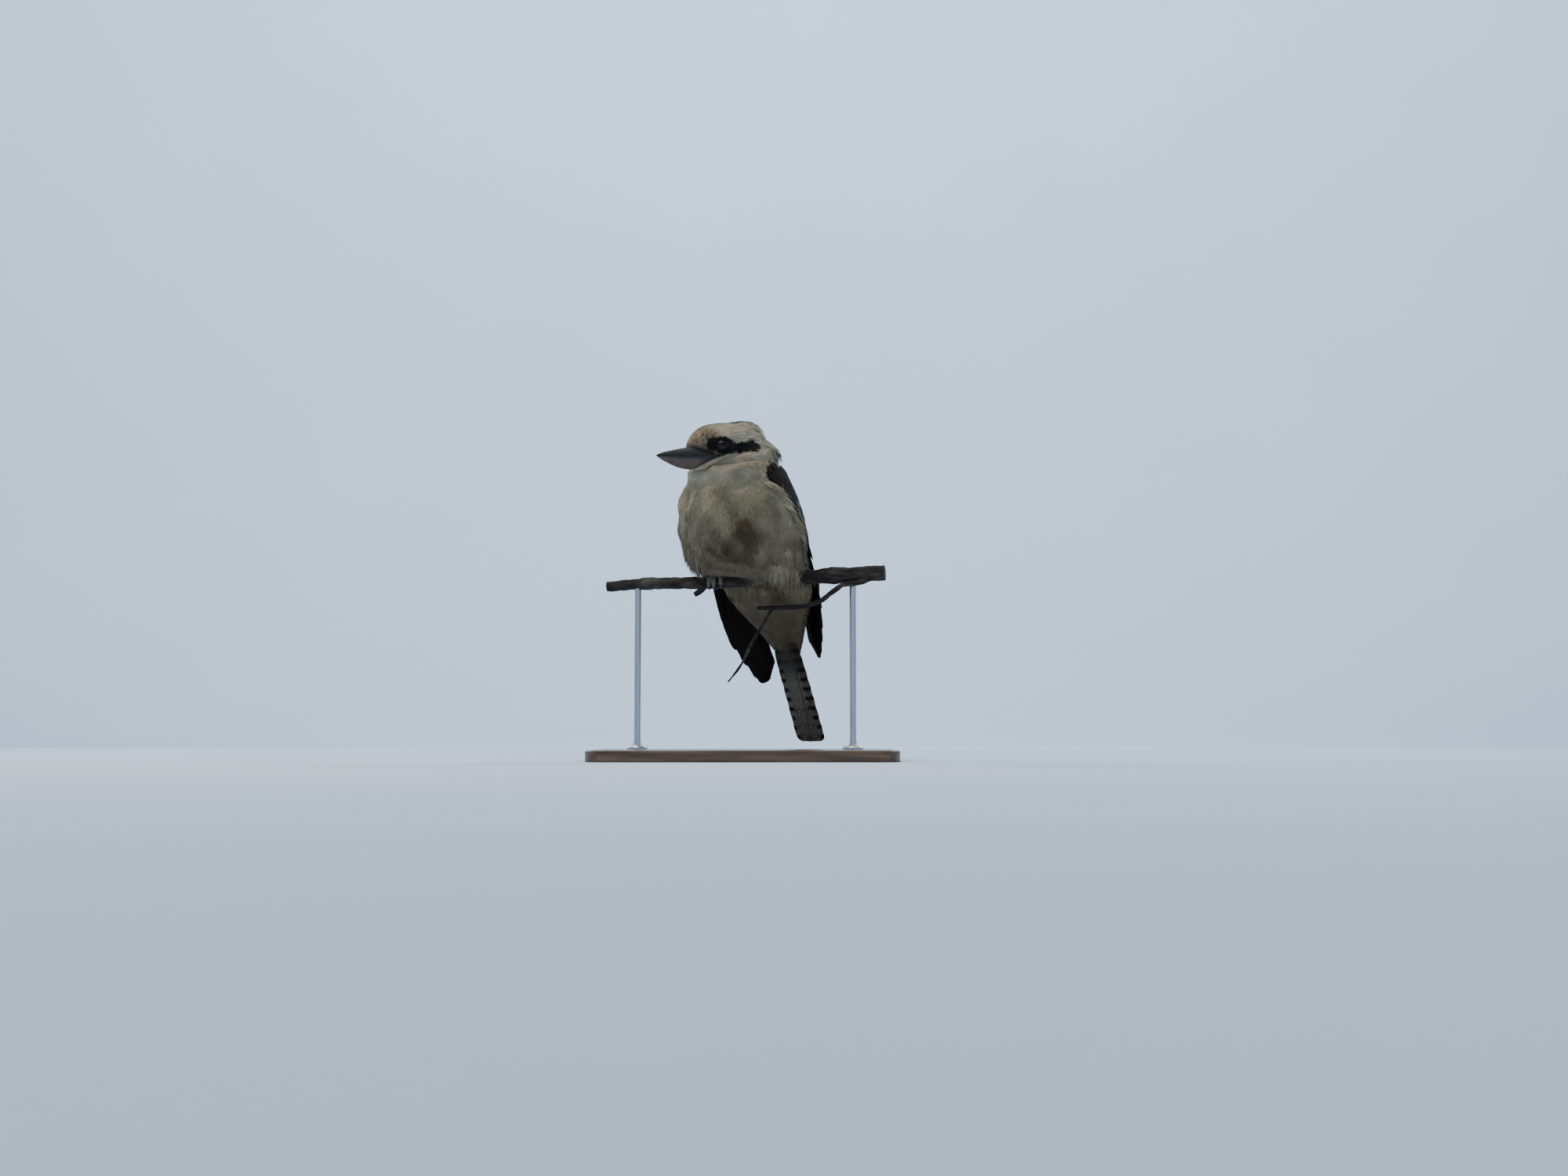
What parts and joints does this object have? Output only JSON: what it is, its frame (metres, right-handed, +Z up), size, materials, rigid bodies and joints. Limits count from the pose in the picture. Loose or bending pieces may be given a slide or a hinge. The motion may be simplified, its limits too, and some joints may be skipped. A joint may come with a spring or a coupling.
{
  "type": "laughing kookaburra model on a perch",
  "caption": "Life-size laughing kookaburra, fluffed up and looking to one side, gripping a short length of dead branch that two rods hold over a flat base.",
  "frame": {"origin": "middle of the underside of the stand's base", "axes": "+Z up; a viewer stands on the -Y side and sees the breast turned 35 degrees and the bill 48 degrees towards -X"},
  "size_m": [0.32, 0.214, 0.3592],
  "materials": {
    "pale_feathers": "soft matt down and body feathers",
    "flight_feathers": "smooth satin vanes",
    "tail_feathers": "smooth satin vanes with dark bars",
    "bill_black": "worn horn, satin",
    "bill_horn": "worn horn, satin",
    "eye": "wet gloss",
    "toe_skin": "dry scales",
    "claw": "satin horn",
    "bark": "weathered dead wood and bark",
    "stand_wood": "stained, satin varnish",
    "stand_metal": "brushed"
  },
  "bodies": {
    "root": {"head": "pale_feathers", "eye_left": "eye", "eye_right": "eye", "bill_upper": "bill_black", "bill_lower": "bill_horn", "neck": "pale_feathers", "torso": "pale_feathers", "rump": "pale_feathers", "wing_left": "flight_feathers", "wing_right": "flight_feathers", "tail": "tail_feathers", "leg_left": "pale_feathers", "leg_right": "pale_feathers", "foot_left": "toe_skin", "foot_right": "toe_skin", "claw_left_inner": "claw", "claw_left_middle": "claw", "claw_left_outer": "claw", "claw_left_hind": "claw", "claw_right_inner": "claw", "claw_right_middle": "claw", "claw_right_outer": "claw", "claw_right_hind": "claw", "perch": "bark", "perch_twig": "bark", "stand_base": "stand_wood", "stand_rod_left": "stand_metal", "stand_rod_right": "stand_metal"}
  },
  "joints": []
}
